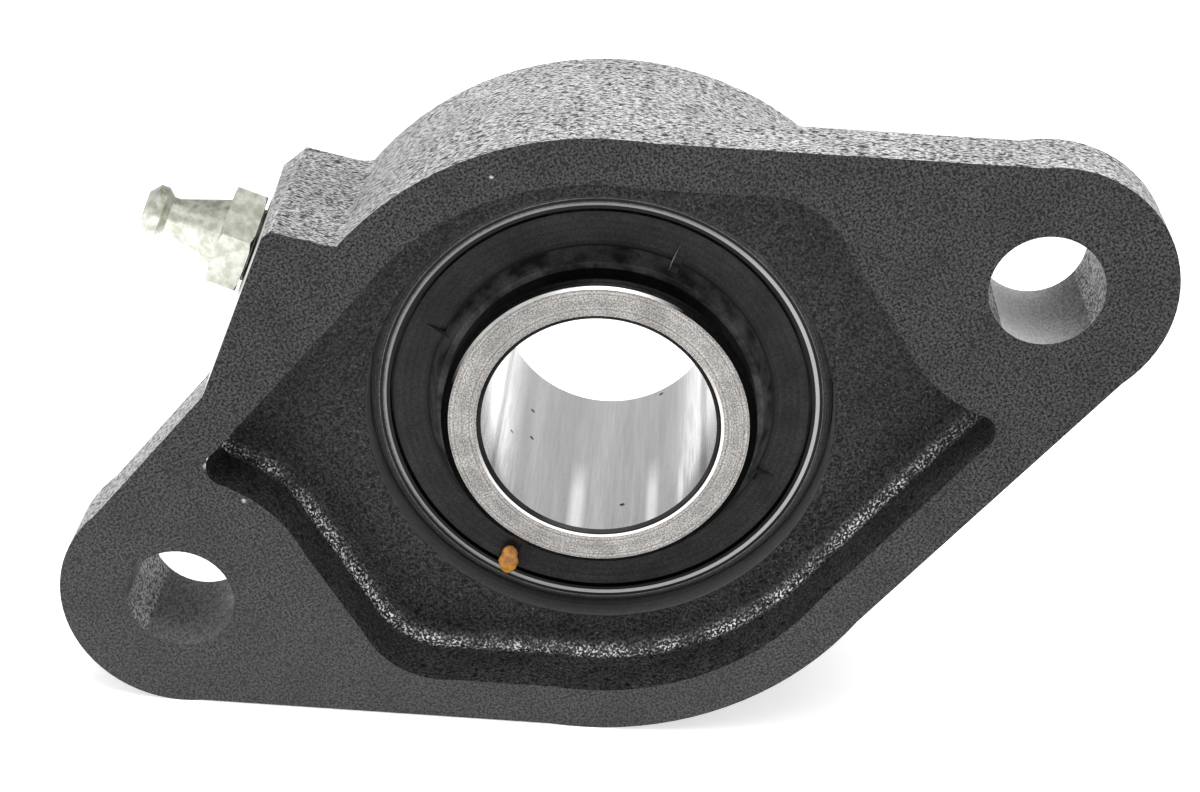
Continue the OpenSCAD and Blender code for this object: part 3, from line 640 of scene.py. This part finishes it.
dressNode("housing", "housingCasting", castingRegion,
          ["castOuter", "castFace", "castHollow", "machined", "padFace", "boltHole", "castPaintedShade"],
          "housing", dressSpec["castSharp"])
dressNode("inner_ring", "innerRing", innerRegion,
          ["groundSteel", "ringFace", "boreSteel", "darkEdge", "innerOutside"], "inner_ring")
dressNode("outer_ring", "outerRing", outerRegion, ["groundSteel", "outerFace"], "outer_ring")
dressNode("grease_nipple_body", "nippleBody", nippleRegion, ["zinc", "darkEdge"], "housing")
for node, piece in (("mount_side_slinger", "mountSlinger"), ("hub_side_slinger", "hubSlinger")):
    dressNode(node, piece, slingerRegion, ["slingerFace", "collarPaintedLight", "ribGlint"],
              "inner_ring")

plainNodes = {
    "grease_spring_retainer": ("nippleRetainer", "zinc", "zinc_steel", "housing"),
    "grease_spring": ("nippleSpring", "springSteel", "spring_steel", "housing"),
    "grease_check_ball": ("nippleCheckBall", "ballSteel", "ball_steel", "grease_check_ball"),
    "mount_side_seal_core": ("mountSealCore", "phosphated", "sheet_steel", "outer_ring"),
    "hub_side_seal_core": ("hubSealCore", "phosphated", "sheet_steel", "outer_ring"),
    "mount_side_seal_lip": ("mountSealLip", "rubber", "seal_rubber", "outer_ring"),
    "hub_side_seal_lip": ("hubSealLip", "rubber", "seal_rubber", "outer_ring"),
    "cage_mount_half": ("cageMountHalf", "sheetSteel", "sheet_steel", "cage"),
    "cage_hub_half": ("cageHubHalf", "sheetSteel", "sheet_steel", "cage"),
    "cage_rivets": ("cageRivets", "sheetSteel", "sheet_steel", "cage"),
    "set_screw_1": ("setScrewA", "blackOxide", "black_steel", "set_screw_1"),
    "set_screw_2": ("setScrewB", "blackOxide", "black_steel", "set_screw_2"),
}
ballCount = 9
for count in range(1, ballCount + 1):
    plainNodes["ball_%d" % count] = ("bearingBall%d" % count, "ballSteel", "ball_steel", "ball_%d" % count)
for node, (piece, finish, slot, body) in plainNodes.items():
    dressNode(node, piece, lambda centre, normal, only=finish: only, [finish], body)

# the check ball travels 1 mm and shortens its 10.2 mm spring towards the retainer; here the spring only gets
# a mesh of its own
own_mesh(bpy.data.objects["nippleSpring"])
print("nodes dressed:", len(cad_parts))


# small pieces of their own

# merge in mm, sharp in degrees
keepSpec = {"merge": 0.001, "sharp": 40.0}


def keepMesh(name, build, finish, body):
    bmesh.ops.remove_doubles(build, verts=build.verts, dist=keepSpec["merge"] * mm)
    bmesh.ops.recalc_face_normals(build, faces=build.faces)
    shadeSmooth(build, keepSpec["sharp"])
    mesh = bpy.data.meshes.new(name)
    build.to_mesh(mesh)
    build.free()
    mesh.materials.append(finish)
    made = addObject(name, mesh)
    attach(made, body)


# the thread that shows between the nipple's hexagon and the pad, in mm and degrees
nippleThread = {"angle": 135.0, "lean": 2.5, "reach": 48.6, "depth": 20.4,
                "rootR": 4.78, "crestR": 4.92, "pitch": 0.22, "fill": 0.45, "crestShare": 0.2,
                "low": 0.06, "turns": 1.5, "steps": 40}


def padPlace(spec):
    # from the nipple's own frame, with z outward, to the casting
    angle, lean = math.radians(spec["angle"]), math.radians(spec["lean"])
    right, up = math.cos(angle), math.sin(angle)
    point = Vector((spec["reach"] * right, spec["depth"], spec["reach"] * up)) * mm
    outward = Vector((math.cos(lean) * right, -math.sin(lean), math.cos(lean) * up))
    side = Vector((up, 0.0, -right))
    turn = Matrix((side, outward.cross(side), outward)).transposed().to_4x4()
    return Matrix.Translation(point) @ turn


def makeNippleThread(spec):
    build = bmesh.new()
    rootR, crestR = spec["rootR"], spec["crestR"]
    half = spec["pitch"] * spec["fill"]
    crest = half * spec["crestShare"]
    corners = [(rootR, -half), (crestR, -crest), (crestR, crest), (rootR, half)]
    points = [build.verts.new(Vector((r, 0.0, spec["low"] + half + h)) * mm) for r, h in corners]
    profile = build.faces.new(points)
    bmesh.ops.spin(build, geom=[profile], cent=(0, 0, 0), axis=(0, 0, 1),
                   dvec=(0, 0, spec["pitch"] * mm / spec["steps"]), angle=math.tau * spec["turns"],
                   steps=int(spec["steps"] * spec["turns"]), use_duplicate=False)
    bmesh.ops.transform(build, matrix=padPlace(spec), verts=build.verts)
    keepMesh("nippleThread", build, finishes["zinc"], "housing")


makeNippleThread(nippleThread)

# a bead of old grease on the slinger, amber, in mm and degrees; a lobe is (share, radians per mm, start)
greaseBead = {"angle": -141.0, "lean": -122.0, "radius": 25.9, "depth": 12.0,
              "long": 4.3, "wide": 2.5, "high": 1.1, "detail": 4,
              "lobes": ((0.08, 2.1, 0.0), (0.04, 4.7, 1.0)),
              "fine": 6.0, "rough": (0.25, 0.45), "dark": (0.45, 0.16, 0.02), "pale": (0.8, 0.36, 0.06)}


def makeGreaseBead(spec):
    finish, tree, shader, place = startMaterial("amberGrease", 0.0)
    marks = useGroup(tree, "smears", place, Fineness=spec["fine"])
    feed(tree, mixColour(tree, marks["Smear"], spec["dark"], spec["pale"]), shader["Base Color"])
    feed(tree, remap(tree, marks["Smear"], 0.0, 1.0, *spec["rough"]), shader["Roughness"])
    build = bmesh.new()
    bmesh.ops.create_icosphere(build, subdivisions=spec["detail"], radius=0.5)
    size = (spec["wide"] * mm, spec["high"] * mm, spec["long"] * mm)
    bmesh.ops.scale(build, vec=size, verts=build.verts)
    for vert in build.verts:
        swell = 1.0
        for share, rate, start in spec["lobes"]:
            swell += share * math.sin(vert.co.z / mm * rate + start)
        vert.co.x *= swell
        vert.co.y *= swell
    angle = math.radians(spec["angle"])
    turn = Matrix.Rotation(math.radians(90.0 - spec["lean"]), 4, "Y")
    centre = Vector((spec["radius"] * math.cos(angle), spec["depth"], spec["radius"] * math.sin(angle))) * mm
    bmesh.ops.transform(build, matrix=Matrix.Translation(centre) @ turn, verts=build.verts)
    keepMesh("greaseBead", build, finish, "inner_ring")


makeGreaseBead(greaseBead)
print("small pieces made")


# floor, light and camera

def seenDirectly(tree):
    # 1 where the eye, a mirror or glass looks, 0 for the light that falls on things
    rays = addNode(tree, "ShaderNodeLightPath").outputs
    return maths(tree, "MAXIMUM", rays["Is Camera Ray"],
                 maths(tree, "MAXIMUM", rays["Is Glossy Ray"], rays["Is Transmission Ray"]))


def plainShader(tree, kind, label=None, value=None):
    node = addNode(tree, kind)
    if label:
        node.inputs[label].default_value = value
    return node.outputs[0]


def joinShaders(tree, kind, *values):
    node = addNode(tree, kind)
    feedAll(tree, node, values)
    return node.outputs[0]


# drop in mm, size in m
floorSpec = {"up": (0.435897, 0.0, 0.9), "drop": 41.22, "size": 6.0, "bounce": 0.8, "shade": 0.8,
             "glow": 0.56}


def makeFloor(spec):
    build = bmesh.new()
    bmesh.ops.create_grid(build, x_segments=1, y_segments=1, size=spec["size"])
    up = Vector(spec["up"]).normalized()
    turn = up.to_track_quat("Z", "Y").to_matrix().to_4x4()
    bmesh.ops.transform(build, matrix=Matrix.Translation(-up * spec["drop"] * mm) @ turn, verts=build.verts)
    mesh = bpy.data.meshes.new("floor")
    build.to_mesh(mesh)
    build.free()
    floor = addObject("floor", mesh)
    material = bpy.data.materials.new("paleFloor")
    material.use_nodes = True
    tree = material.node_tree
    tree.nodes.clear()
    out = addNode(tree, "ShaderNodeOutputMaterial")
    lit = plainShader(tree, "ShaderNodeBsdfDiffuse", "Color", (spec["bounce"],) * 3 + (1.0,))
    seen = plainShader(tree, "ShaderNodeBsdfDiffuse", "Color", (spec["shade"],) * 3 + (1.0,))
    glow = plainShader(tree, "ShaderNodeEmission", "Strength", spec["glow"])
    bright = joinShaders(tree, "ShaderNodeAddShader", seen, glow)
    front = joinShaders(tree, "ShaderNodeMixShader", seenDirectly(tree), lit, bright)
    # clear from below
    below = addNode(tree, "ShaderNodeNewGeometry").outputs["Backfacing"]
    clear = plainShader(tree, "ShaderNodeBsdfTransparent")
    feed(tree, joinShaders(tree, "ShaderNodeMixShader", below, front, clear), out.inputs["Surface"])
    mesh.materials.append(material)


makeFloor(floorSpec)

worldSpec = {"light": 0.62, "seen": 1.0}


def makeWorld(spec):
    world = bpy.data.worlds.new("softStudio")
    bpy.context.scene.world = world
    world.use_nodes = True
    tree = world.node_tree
    tree.nodes.clear()
    out = addNode(tree, "ShaderNodeOutputWorld")
    light = plainShader(tree, "ShaderNodeBackground", "Strength", spec["light"])
    seen = plainShader(tree, "ShaderNodeBackground", "Strength", spec["seen"])
    both = joinShaders(tree, "ShaderNodeMixShader", seenDirectly(tree), light, seen)
    feed(tree, both, out.inputs["Surface"])


makeWorld(worldSpec)

# metres and watts
lampSpecs = {
    "keyLamp": {"place": (0.38, -0.12, 0.68), "size": 0.7, "power": 9.0},
    "fillLamp": {"place": (-0.75, -0.45, 0.35), "size": 0.8, "power": 4.0},
}


def makeLamp(name, spec):
    light = bpy.data.lights.new(name, "AREA")
    light.size = spec["size"]
    light.energy = spec["power"]
    place = Vector(spec["place"])
    turn = place.to_track_quat("Z", "Y").to_matrix().to_4x4()
    addObject(name, light).matrix_world = Matrix.Translation(place) @ turn


for name, spec in lampSpecs.items():
    makeLamp(name, spec)

# lens and sensor in mm, near and place in m
cameraSpec = {
    "lens": 71.44, "sensor": 36.0, "near": 0.01,
    "place": (0.064254, -0.261998, 0.122439),
    "right": (0.92054, 0.04246, -0.38833),
    "up": (0.33078, 0.44410, 0.83268),
    "back": (0.20781, -0.89497, 0.39477),
}


def makeCamera(spec):
    data = bpy.data.cameras.new("photoCamera")
    data.lens = spec["lens"]
    data.sensor_width = spec["sensor"]
    data.clip_start = spec["near"]
    camera = addObject("photoCamera", data)
    turn = Matrix((spec["right"], spec["up"], spec["back"])).transposed().to_4x4()
    camera.matrix_world = Matrix.Translation(spec["place"]) @ turn
    bpy.context.scene.camera = camera


makeCamera(cameraSpec)
bpy.context.scene.view_settings.view_transform = "Standard"
print("stage set")
